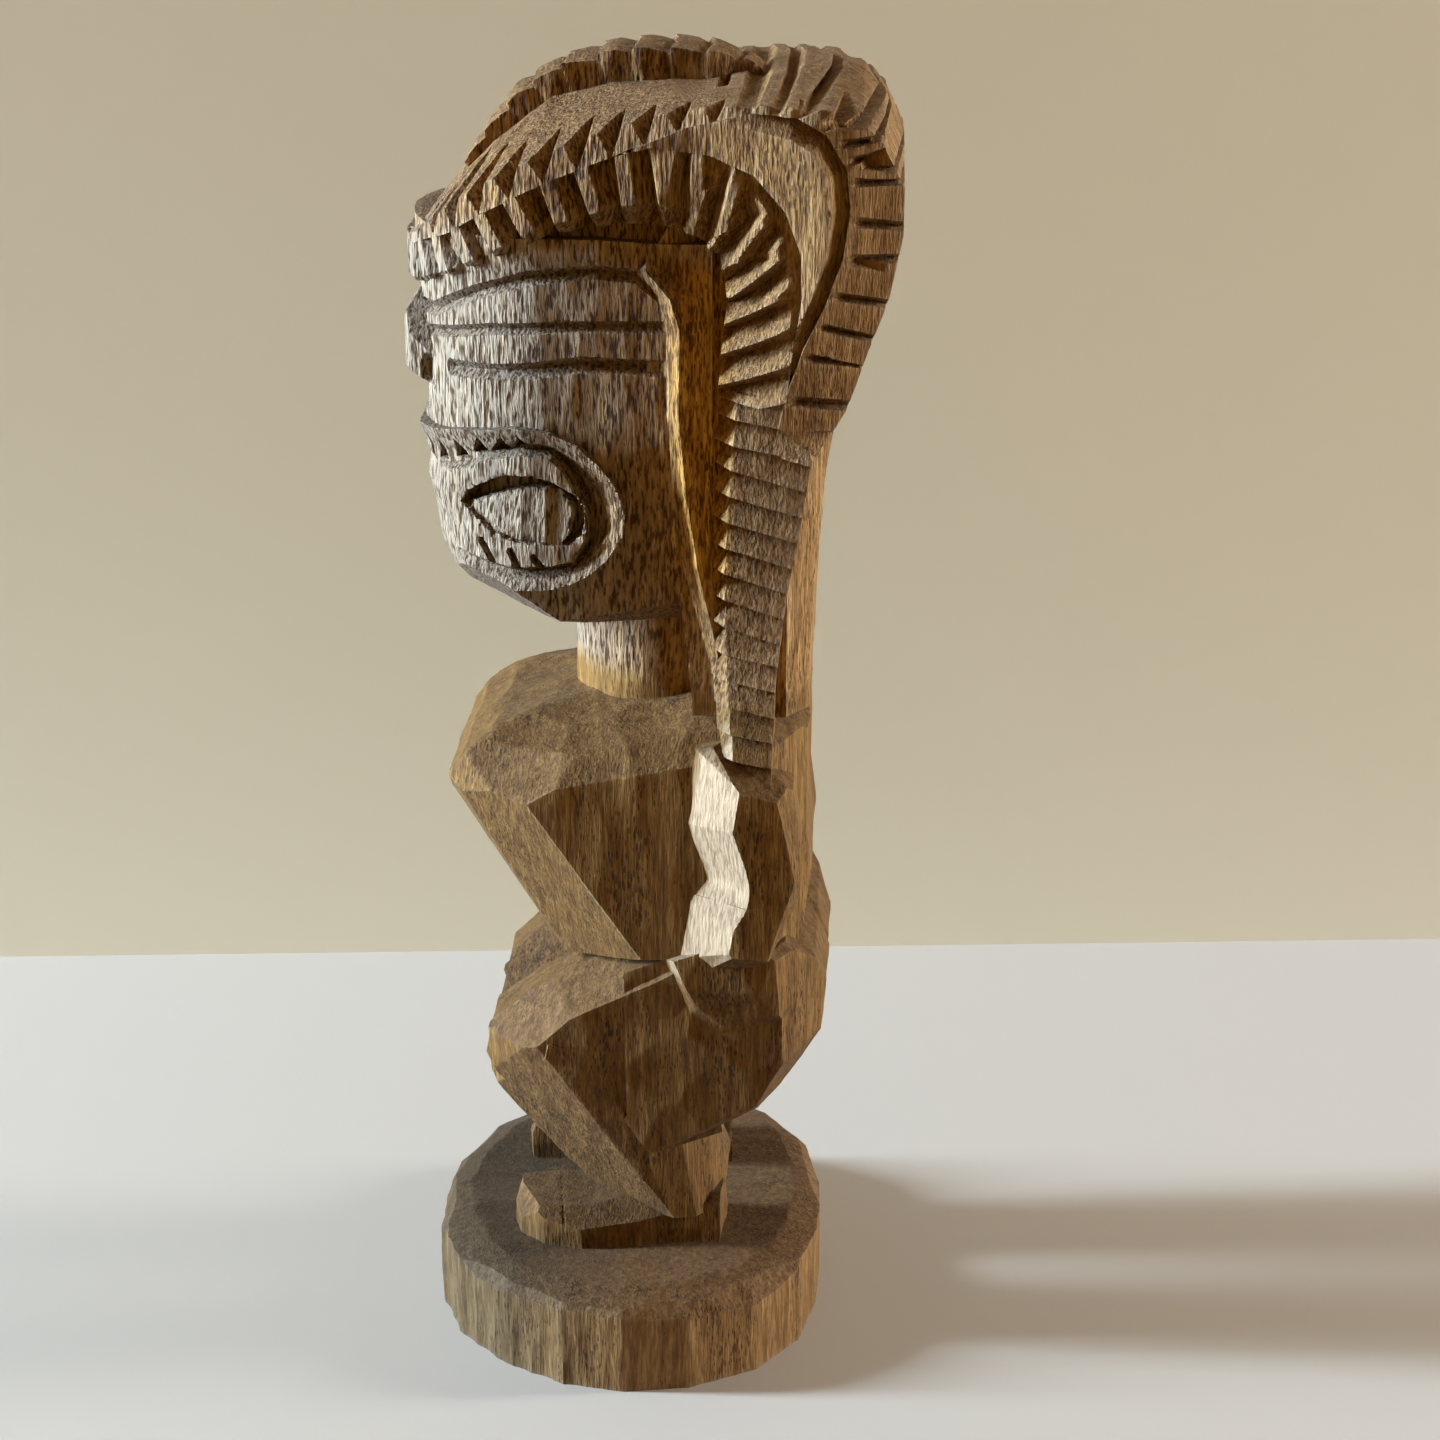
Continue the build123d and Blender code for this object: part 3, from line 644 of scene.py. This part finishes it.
def sharp_surface(field, low, high, cell):
    """Dual contouring: vertices and quads, in mm."""
    low = np.asarray(low, float) - 1.5 * cell
    cells = np.ceil((np.asarray(high, float) + 1.5 * cell - low) / cell / BLOCK).astype(int) * BLOCK
    blocks = cells // BLOCK
    where = np.stack(np.meshgrid(*[np.arange(n) for n in blocks], indexing="ij"), -1).reshape(-1, 3)
    middle = field(low + (where + 0.5) * BLOCK * cell).reshape(blocks)
    near = np.abs(middle) < BLOCK * cell * 0.87 + RELIEF
    busy = near
    rough = middle
    for axis in range(3):
        busy = np.repeat(busy, BLOCK, axis)
        rough = np.repeat(rough, BLOCK, axis)
    values = np.pad(rough, ((0, 1),) * 3, mode="edge")
    wanted = np.zeros(values.shape, bool)
    for a, b, c in product((0, 1), repeat=3):
        wanted[a:a + cells[0], b:b + cells[1], c:c + cells[2]] |= busy
    spots = np.argwhere(wanted)
    values[wanted] = field(low + spots * cell)
    inside = values < 0

    owners, points, normals, quads = [], [], [], []
    shape = tuple(cells)
    for axis in range(3):
        first = [slice(None)] * 3
        second = [slice(None)] * 3
        first[axis], second[axis] = slice(0, -1), slice(1, None)
        crossing = inside[tuple(first)] != inside[tuple(second)]
        b, c = (axis + 1) % 3, (axis + 2) % 3
        at = np.argwhere(crossing)
        at = at[(at[:, b] > 0) & (at[:, c] > 0) & (at[:, b] < cells[b]) & (at[:, c] < cells[c])]
        if not len(at):
            continue
        ahead = at.copy()
        ahead[:, axis] += 1
        f0, f1 = values[tuple(at.T)], values[tuple(ahead.T)]
        t0, t1 = np.zeros(len(at)), np.ones(len(at))
        start_inside = f0 < 0
        for _ in range(3):
            t = np.clip(t0 + (t1 - t0) * f0 / (f0 - f1), t0 + 0.05 * (t1 - t0), t1 - 0.05 * (t1 - t0))
            spot = low + at * cell
            spot[:, axis] += t * cell
            f = field(spot)
            same = (f < 0) == start_inside
            t0, f0 = np.where(same, t, t0), np.where(same, f, f0)
            t1, f1 = np.where(same, t1, t), np.where(same, f1, f)
        slope = np.zeros_like(spot)
        for k in ((1, -1, -1), (-1, -1, 1), (-1, 1, -1), (1, 1, 1)):
            slope += np.array(k, float) * field(spot + np.array(k) * 0.04)[:, None]
        slope /= np.maximum(np.linalg.norm(slope, axis=1), 1e-9)[:, None]
        ring = []
        for db, dc in ((0, 0), (-1, 0), (-1, -1), (0, -1)):
            around = at.copy()
            around[:, b] += db
            around[:, c] += dc
            ring.append(np.ravel_multi_index(tuple(around.T), shape))
        ring = np.stack(ring, 1)
        quads.append(np.where(start_inside[:, None], ring, ring[:, ::-1]))
        owners.append(ring.ravel())
        points.append(np.repeat(spot, 4, axis=0))
        normals.append(np.repeat(slope, 4, axis=0))
    owners, points, normals = np.concatenate(owners), np.concatenate(points), np.concatenate(normals)
    used, index = np.unique(owners, return_inverse=True)
    count = np.bincount(index).astype(float)
    mean = np.stack([np.bincount(index, points[:, i]) for i in range(3)], 1) / count[:, None]
    offset = points - mean[index]
    reach = np.sum(normals * offset, axis=1)
    right = np.stack([np.bincount(index, normals[:, i] * reach) for i in range(3)], 1)
    rows = [np.stack([np.bincount(index, normals[:, i] * normals[:, j]) for j in range(3)], 1) for i in range(3)]
    for i in range(3):
        rows[i][:, i] += 0.06
    crosses = [np.cross(rows[1], rows[2]), np.cross(rows[2], rows[0]), np.cross(rows[0], rows[1])]
    volume = np.sum(rows[0] * crosses[0], axis=1)
    shift = sum(crosses[i] * right[:, i:i + 1] for i in range(3)) / volume[:, None]
    corner = low + np.stack(np.unravel_index(used, shape), 1) * cell
    vertices = np.clip(mean + shift, corner, corner + cell)
    lookup = np.full(int(np.prod(cells)), -1)
    lookup[used] = np.arange(len(used))
    return vertices, lookup[np.concatenate(quads)]


def hollow_map(vertices, quads):
    """How far each vertex stands proud of, or below, the surface around it, in mm."""
    edges = np.concatenate([quads[:, [0, 1]], quads[:, [1, 2]], quads[:, [2, 3]], quads[:, [3, 0]]])
    a, b = edges[:, 0], edges[:, 1]
    n = len(vertices)
    degree = np.maximum(np.bincount(a, minlength=n) + np.bincount(b, minlength=n), 1).astype(float)
    cross = np.cross(vertices[quads[:, 2]] - vertices[quads[:, 0]], vertices[quads[:, 3]] - vertices[quads[:, 1]])
    normal = np.zeros_like(vertices)
    for corner in range(4):
        for i in range(3):
            normal[:, i] += np.bincount(quads[:, corner], cross[:, i], minlength=n)
    normal /= np.maximum(np.linalg.norm(normal, axis=1), 1e-9)[:, None]
    smooth = vertices.copy()
    for _ in range(14):
        total = np.empty_like(smooth)
        for i in range(3):
            total[:, i] = (np.bincount(a, smooth[b, i], minlength=n) + np.bincount(b, smooth[a, i], minlength=n))
        smooth = 0.3 * smooth + 0.7 * total / degree[:, None]
    return np.sum((vertices - smooth) * normal, axis=1)


def add_piece(name, surface, material):
    vertices, quads, proud = surface
    mesh = bpy.data.meshes.new(name)
    mesh.vertices.add(len(vertices))
    mesh.vertices.foreach_set("co", (vertices * MM).astype(np.float32).ravel())
    mesh.loops.add(quads.size)
    mesh.loops.foreach_set("vertex_index", quads.astype(np.int32).ravel())
    mesh.polygons.add(len(quads))
    mesh.polygons.foreach_set("loop_start", np.arange(0, quads.size, 4, dtype=np.int32))
    mesh.update(calc_edges=True)
    mesh.validate()
    mesh.shade_smooth()
    mesh.set_sharp_from_angle(angle=math.radians(24))
    # Proud and sunk wood drives the paler edges (wear and painted highlight) and the painted shade in hollows.
    proud_attribute = mesh.attributes.new("proud", "FLOAT", "POINT")
    proud_attribute.data.foreach_set("value", proud.astype(np.float32))
    mesh.materials.append(material)
    piece = bpy.data.objects.new(name, mesh)
    bpy.context.collection.objects.link(piece)
    return piece


# ---------------------------------------------------------------- material
def carved_wood():
    """Pale brown hardwood with open pores. Its grain runs up the figure, so cuts across it show dots."""
    material = bpy.data.materials.new("carved_wood_grain")
    material.use_nodes = True
    nodes, links = material.node_tree.nodes, material.node_tree.links
    shader = nodes["Principled BSDF"]
    place = nodes.new("ShaderNodeTexCoord")

    def stretched(across, up):
        mapping = nodes.new("ShaderNodeMapping")
        mapping.inputs["Scale"].default_value = (across, across, up)
        links.new(place.outputs["Object"], mapping.inputs["Vector"])
        return mapping.outputs["Vector"]

    def noise(vector, scale, detail, rough=0.55):
        node = nodes.new("ShaderNodeTexNoise")
        node.inputs["Scale"].default_value = scale
        node.inputs["Detail"].default_value = detail
        node.inputs["Roughness"].default_value = rough
        links.new(vector, node.inputs["Vector"])
        return node.outputs["Fac"]

    def curve(value, points, interpolation="LINEAR"):
        node = nodes.new("ShaderNodeValToRGB")
        node.color_ramp.interpolation = interpolation
        stops = node.color_ramp.elements
        while len(stops) < len(points):
            stops.new(0.5)
        for stop, (at, colour) in zip(stops, points):
            stop.position = at
            stop.color = (*colour, 1)
        links.new(value, node.inputs["Fac"])
        return node.outputs["Color"]

    def grey(value, low, high):
        node = nodes.new("ShaderNodeMapRange")
        node.inputs["From Min"].default_value = low
        node.inputs["From Max"].default_value = high
        links.new(value, node.inputs["Value"])
        return node.outputs["Result"]

    def blend(kind, amount, first, second):
        node = nodes.new("ShaderNodeMix")
        node.data_type = "RGBA"
        node.blend_type = kind
        if isinstance(amount, float):
            node.inputs["Factor"].default_value = amount
        else:
            links.new(amount, node.inputs["Factor"])
        for socket, value in (("A", first), ("B", second)):
            index = 6 if socket == "A" else 7
            if isinstance(value, tuple):
                node.inputs[index].default_value = (*value, 1)
            else:
                links.new(value, node.inputs[index])
        return node.outputs[2]

    def calculate(kind, first, second):
        node = nodes.new("ShaderNodeMath")
        node.operation = kind
        node.use_clamp = False
        for socket, value in zip(node.inputs, (first, second)):
            if isinstance(value, (int, float)):
                socket.default_value = value
            else:
                links.new(value, socket)
        return node.outputs[0]

    def tinted(colour, mask, tint):
        """The colour multiplied by the tint where the mask is 1."""
        return blend("MIX", mask, colour, blend("MULTIPLY", 1.0, colour, tint))

    streaks = noise(stretched(1, 0.07), 640, 4, 0.6)
    fine = noise(stretched(1, 0.085), 2100, 3, 0.7)
    fibre = noise(stretched(1, 0.19), 1500, 2, 0.5)
    clouds = noise(stretched(1, 0.5), 26, 3)
    pore_cells = nodes.new("ShaderNodeTexVoronoi")
    pore_cells.inputs["Scale"].default_value = 1700
    links.new(stretched(1, 0.22), pore_cells.inputs["Vector"])
    pore_patch = noise(stretched(1, 0.3), 150, 2)
    pore_size = grey(pore_patch, 0.35, 0.75)
    pore = calculate("LESS_THAN", pore_cells.outputs["Distance"], calculate("MULTIPLY", pore_size, 0.52))

    base = curve(streaks, [(0.34, (0.31, 0.160, 0.050)), (0.5, (0.46, 0.262, 0.096)),
                           (0.66, (0.62, 0.390, 0.170))])
    base = blend("MULTIPLY", 0.6, base, curve(fine, [(0.38, (0.42, 0.35, 0.27)), (0.60, (1, 1, 1))]))
    base = blend("OVERLAY", 0.12, base, curve(clouds, [(0.35, (0.40, 0.36, 0.30)), (0.65, (0.62, 0.60, 0.58))]))
    base = blend("MIX", calculate("MULTIPLY", pore, 0.7), base, (0.060, 0.028, 0.012))
    proud = nodes.new("ShaderNodeAttribute")
    proud.attribute_name = "proud"
    wear_and_edge_highlight = grey(proud.outputs["Fac"], 0.10, 0.55)
    sunk = grey(proud.outputs["Fac"], -0.12, -0.75)
    # Proud edges paler: part wear, part painted highlight along the edges.
    base = blend("MIX", calculate("MULTIPLY", wear_and_edge_highlight, 0.22), base, (0.60, 0.48, 0.33))
    # Painted shade: wood lying below the surface around it is tinted dark orange.
    base = blend("MIX", calculate("MULTIPLY", sunk, 0.5), base, (0.30, 0.135, 0.022))
    # Masks by place on the figure, in metres, set so that each area comes out at the right tone. Some of them
    # paint shade, sheen and highlight into the colour.
    at = nodes.new("ShaderNodeSeparateXYZ")
    links.new(place.outputs["Object"], at.inputs[0])
    facing = nodes.new("ShaderNodeSeparateXYZ")
    links.new(place.outputs["Normal"], facing.inputs[0])
    x, y, z = (at.outputs[name] for name in "XYZ")
    neck_low, neck_high = 0.152, 0.157
    high = grey(z, neck_low, neck_high)
    end_grain_and_top_shade = calculate("POWER", calculate("ABSOLUTE", facing.outputs["Z"], 0.0), 0.8)
    smoother = calculate("SUBTRACT", 1.0, calculate("MULTIPLY", end_grain_and_top_shade, 0.45))
    smoother = calculate("MULTIPLY", smoother, grey(y, 0.044, -0.004))
    rough_cut = calculate("ADD", 0.30, calculate("MULTIPLY", calculate("MULTIPLY", high, smoother), 0.68))
    torn = curve(fibre, [(0.40, (0.20, 0.13, 0.07)), (0.49, (0.84, 0.82, 0.80)), (0.62, (1, 1, 1))])
    base = blend("MULTIPLY", rough_cut, base, torn)
    # Greyer wood over the front of the head: dust, and painted sheen of the cool window light.
    dust_and_sheen = calculate("MULTIPLY", high, grey(y, 0.006, -0.020))
    dust_and_sheen = calculate("MULTIPLY", dust_and_sheen, grey(z, 0.252, 0.240))
    dust_and_sheen_grey = blend("MULTIPLY", 1.0, torn, (0.40, 0.37, 0.31))
    base = blend("MIX", calculate("MULTIPLY", dust_and_sheen, 0.62), base, dust_and_sheen_grey)
    # Darker, browner wood below the neck, most of all above the plinth.
    below_neck = grey(z, neck_high, neck_low)
    above_plinth = calculate("MULTIPLY", grey(z, 0.020, 0.024), 0.7)
    body = calculate("MULTIPLY", below_neck, calculate("ADD", 0.3, above_plinth))
    base = tinted(base, body, (0.61, 0.56, 0.38))
    # The plinth's front is darker and greyer.
    plinth_front = calculate("MULTIPLY", grey(z, 0.030, 0.022), grey(y, 0.000, -0.030))
    base = tinted(base, plinth_front, (0.46, 0.54, 0.66))
    # Painted shade: the hollow channel behind the cheek is tinted deep orange, the colour of its shade.
    channel_y = calculate("MULTIPLY", grey(y, 0.0055, 0.009), grey(y, 0.019, 0.015))
    channel_z = calculate("MULTIPLY", grey(z, 0.172, 0.182), grey(z, 0.244, 0.238))
    base = tinted(base, calculate("MULTIPLY", channel_y, channel_z), (1.5, 1.35, 0.75))
    # Painted highlight: the arm's bevel, where it faces forward towards the window, is mixed towards pale wood.
    facing_front = grey(facing.outputs["Y"], -0.15, -0.45)
    arm_edge = calculate("MULTIPLY", grey(calculate("ABSOLUTE", x, 0.0), 0.0346, 0.0356), facing_front)
    arm_height = calculate("MULTIPLY", grey(z, 0.092, 0.097), grey(z, 0.152, 0.147))
    arm_edge = calculate("MULTIPLY", arm_edge, arm_height)
    painted_arm_highlight = blend("MULTIPLY", 0.4, (0.66, 0.50, 0.33), torn)
    base = blend("MIX", calculate("MULTIPLY", arm_edge, 0.8), base, painted_arm_highlight)
    # Surfaces facing up or down are darker: partly the darker end grain, partly painted shade on the tops.
    base = tinted(base, calculate("MULTIPLY", end_grain_and_top_shade, 0.62), (0.21, 0.155, 0.12))
    # Darker towards the bottom.
    base = tinted(base, calculate("MULTIPLY", grey(z, 0.150, 0.040), 0.46), (0.36, 0.30, 0.26))
    links.new(base, shader.inputs["Base Color"])

    rough = grey(fine, 0.2, 0.8)
    links.new(calculate("ADD", calculate("MULTIPLY", rough, 0.22), 0.52), shader.inputs["Roughness"])
    shader.inputs["Specular IOR Level"].default_value = 0.12
    shader.inputs["Sheen Weight"].default_value = 0.03
    shader.inputs["Sheen Roughness"].default_value = 0.6

    height = calculate("ADD", calculate("MULTIPLY", fine, 0.4), calculate("MULTIPLY", streaks, 0.3))
    height = calculate("ADD", height, calculate("MULTIPLY", fibre, rough_cut))
    height = calculate("SUBTRACT", height, calculate("MULTIPLY", pore, 0.3))
    bump = nodes.new("ShaderNodeBump")
    bump.inputs["Strength"].default_value = 0.75
    links.new(calculate("ADD", 0.0008, calculate("MULTIPLY", high, 0.0009)), bump.inputs["Distance"])
    links.new(height, bump.inputs["Height"])
    links.new(bump.outputs["Normal"], shader.inputs["Normal"])
    return material


def plain_material(name, colour, rough):
    material = bpy.data.materials.new(name)
    material.use_nodes = True
    nodes, links = material.node_tree.nodes, material.node_tree.links
    shader = nodes["Principled BSDF"]
    noise = nodes.new("ShaderNodeTexNoise")
    noise.inputs["Scale"].default_value = 9
    stops = nodes.new("ShaderNodeValToRGB")
    stops.color_ramp.elements[0].color = (*[c * 0.96 for c in colour], 1)
    stops.color_ramp.elements[1].color = (*colour, 1)
    links.new(noise.outputs["Fac"], stops.inputs["Fac"])
    links.new(stops.outputs["Color"], shader.inputs["Base Color"])
    shader.inputs["Roughness"].default_value = rough
    return material


# ---------------------------------------------------------------- build
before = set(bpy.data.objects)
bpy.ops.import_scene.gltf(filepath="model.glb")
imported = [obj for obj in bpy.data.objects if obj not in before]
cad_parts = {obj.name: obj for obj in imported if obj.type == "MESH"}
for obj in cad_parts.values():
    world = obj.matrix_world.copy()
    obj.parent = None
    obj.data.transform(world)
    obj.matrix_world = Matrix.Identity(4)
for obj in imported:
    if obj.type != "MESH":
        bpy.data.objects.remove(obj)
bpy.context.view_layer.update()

MIDDLE = {"plinth": plinth, "hips": hips, "torso": torso, "neck": neck, "head": head, "nose": nose,
          "mouth_ring": mouth_ring, "headdress_core": headdress_core, "centre_crest": centre_crest}
PAIRED = {"foot": foot, "lower_leg": lower_leg, "thigh": thigh, "upper_arm": upper_arm, "forearm": forearm,
          "plait": plait, "outer_crest": outer_crest, "inner_crest": inner_crest, "crest_panel": crest_panel,
          "side_lock": side_lock}
SPARE = 6.0  # how far outside its CAD box a region is looked for, mm


def region_box(node):
    low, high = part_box(node)
    return [v / MM - SPARE for v in low], [v / MM + SPARE for v in high]


def build(job):
    name, form, seed, mirror, low, high = job
    if mirror:
        low, high = [-high[0], low[1], low[2]], [-low[0], high[1], high[2]]
    vertices, quads = sharp_surface(in_chunks(form, seed), low, high, CELL)
    if mirror:
        vertices = vertices * (-1, 1, 1)
        quads = quads[:, ::-1]
    return name, (vertices, quads, hollow_map(vertices, quads))


jobs = []
for number, (name, form) in enumerate(MIDDLE.items()):
    jobs.append((name, form, 11 + number, False, *region_box(name)))
for number, (name, form) in enumerate(PAIRED.items()):
    jobs.append(("left_" + name, form, 41 + number, False, *region_box("left_" + name)))
    jobs.append(("right_" + name, form, 71 + number, True, *region_box("right_" + name)))

wood = carved_wood()
with ThreadPoolExecutor(4) as pool:
    surfaces = dict(pool.map(build, jobs))
for name, surface in surfaces.items():
    piece = add_piece("carved_" + name, surface, wood)
    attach(piece, "root")
    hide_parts(name)


# ---------------------------------------------------------------- shelf, wall, light and camera
def flat_sheet(name, corners, material):
    mesh = bpy.data.meshes.new(name)
    mesh.from_pydata(corners, [], [(0, 1, 2, 3)])
    mesh.materials.append(material)
    sheet = bpy.data.objects.new(name, mesh)
    bpy.context.collection.objects.link(sheet)
    return sheet


SHELF_FRONT = 0.12
flat_sheet("shelf", [(-3, -3, 0), (SHELF_FRONT, -3, 0), (SHELF_FRONT, 3, 0), (-3, 3, 0)],
           plain_material("shelf_white", (0.44, 0.39, 0.335), 0.6))
WALL_BEHIND = 0.1655  # wall line on the shelf: how far behind the figure's middle
WALL_TURN = 0.0825  # and how much further for each metre along +Y
wall_feet = [(-WALL_BEHIND - WALL_TURN * y, y) for y in (-3, 3)]
flat_sheet("wall", [(*wall_feet[0], 0), (*wall_feet[1], 0), (*wall_feet[1], 3), (*wall_feet[0], 3)],
           plain_material("wall_cream", (0.95, 0.89, 0.70), 0.8))


def soft_light(name, place, target, size, power, colour):
    """Area light of size (across, up), aimed from place to target."""
    data = bpy.data.lights.new(name, "AREA")
    data.shape = "RECTANGLE"
    data.size, data.size_y = size
    data.energy = power
    data.color = colour
    light = bpy.data.objects.new(name, data)
    light.location = place
    light.rotation_euler = (Vector(target) - Vector(place)).to_track_quat("-Z", "Y").to_euler()
    bpy.context.collection.objects.link(light)


FIGURE_MIDDLE = (0, 0, 0.15)
soft_light("window", (0.0, -2.2, 0.75), FIGURE_MIDDLE, (0.40, 1.3), 480, (0.62, 0.80, 1.0))
soft_light("doorway", (-0.18, 1.6, 0.50), FIGURE_MIDDLE, (0.24, 0.9), 34, (0.86, 0.90, 0.95))
soft_light("ceiling", (-0.15, 0.0, 1.6), FIGURE_MIDDLE, (0.4, 1.2), 2.0, (1.0, 0.94, 0.90))
world = bpy.data.worlds.new("room_fill")
world.use_nodes = True
background = world.node_tree.nodes["Background"]
background.inputs["Color"].default_value = (1.0, 0.61, 0.18, 1)
background.inputs["Strength"].default_value = 0.25
bpy.context.scene.world = world

CAMERA_PLACE = (0.5688, 0.0448, 0.367)
CAMERA_AIM = (-0.92581, -0.05049, -0.37461)
camera_data = bpy.data.cameras.new("camera")
camera_data.sensor_width = 36.0
camera_data.lens = 72.19
camera_data.clip_start = 0.01
camera = bpy.data.objects.new("camera", camera_data)
camera.location = CAMERA_PLACE
camera.rotation_euler = Vector(CAMERA_AIM).to_track_quat("-Z", "Y").to_euler()
bpy.context.collection.objects.link(camera)
bpy.context.scene.camera = camera
bpy.context.scene.view_settings.view_transform = "Standard"
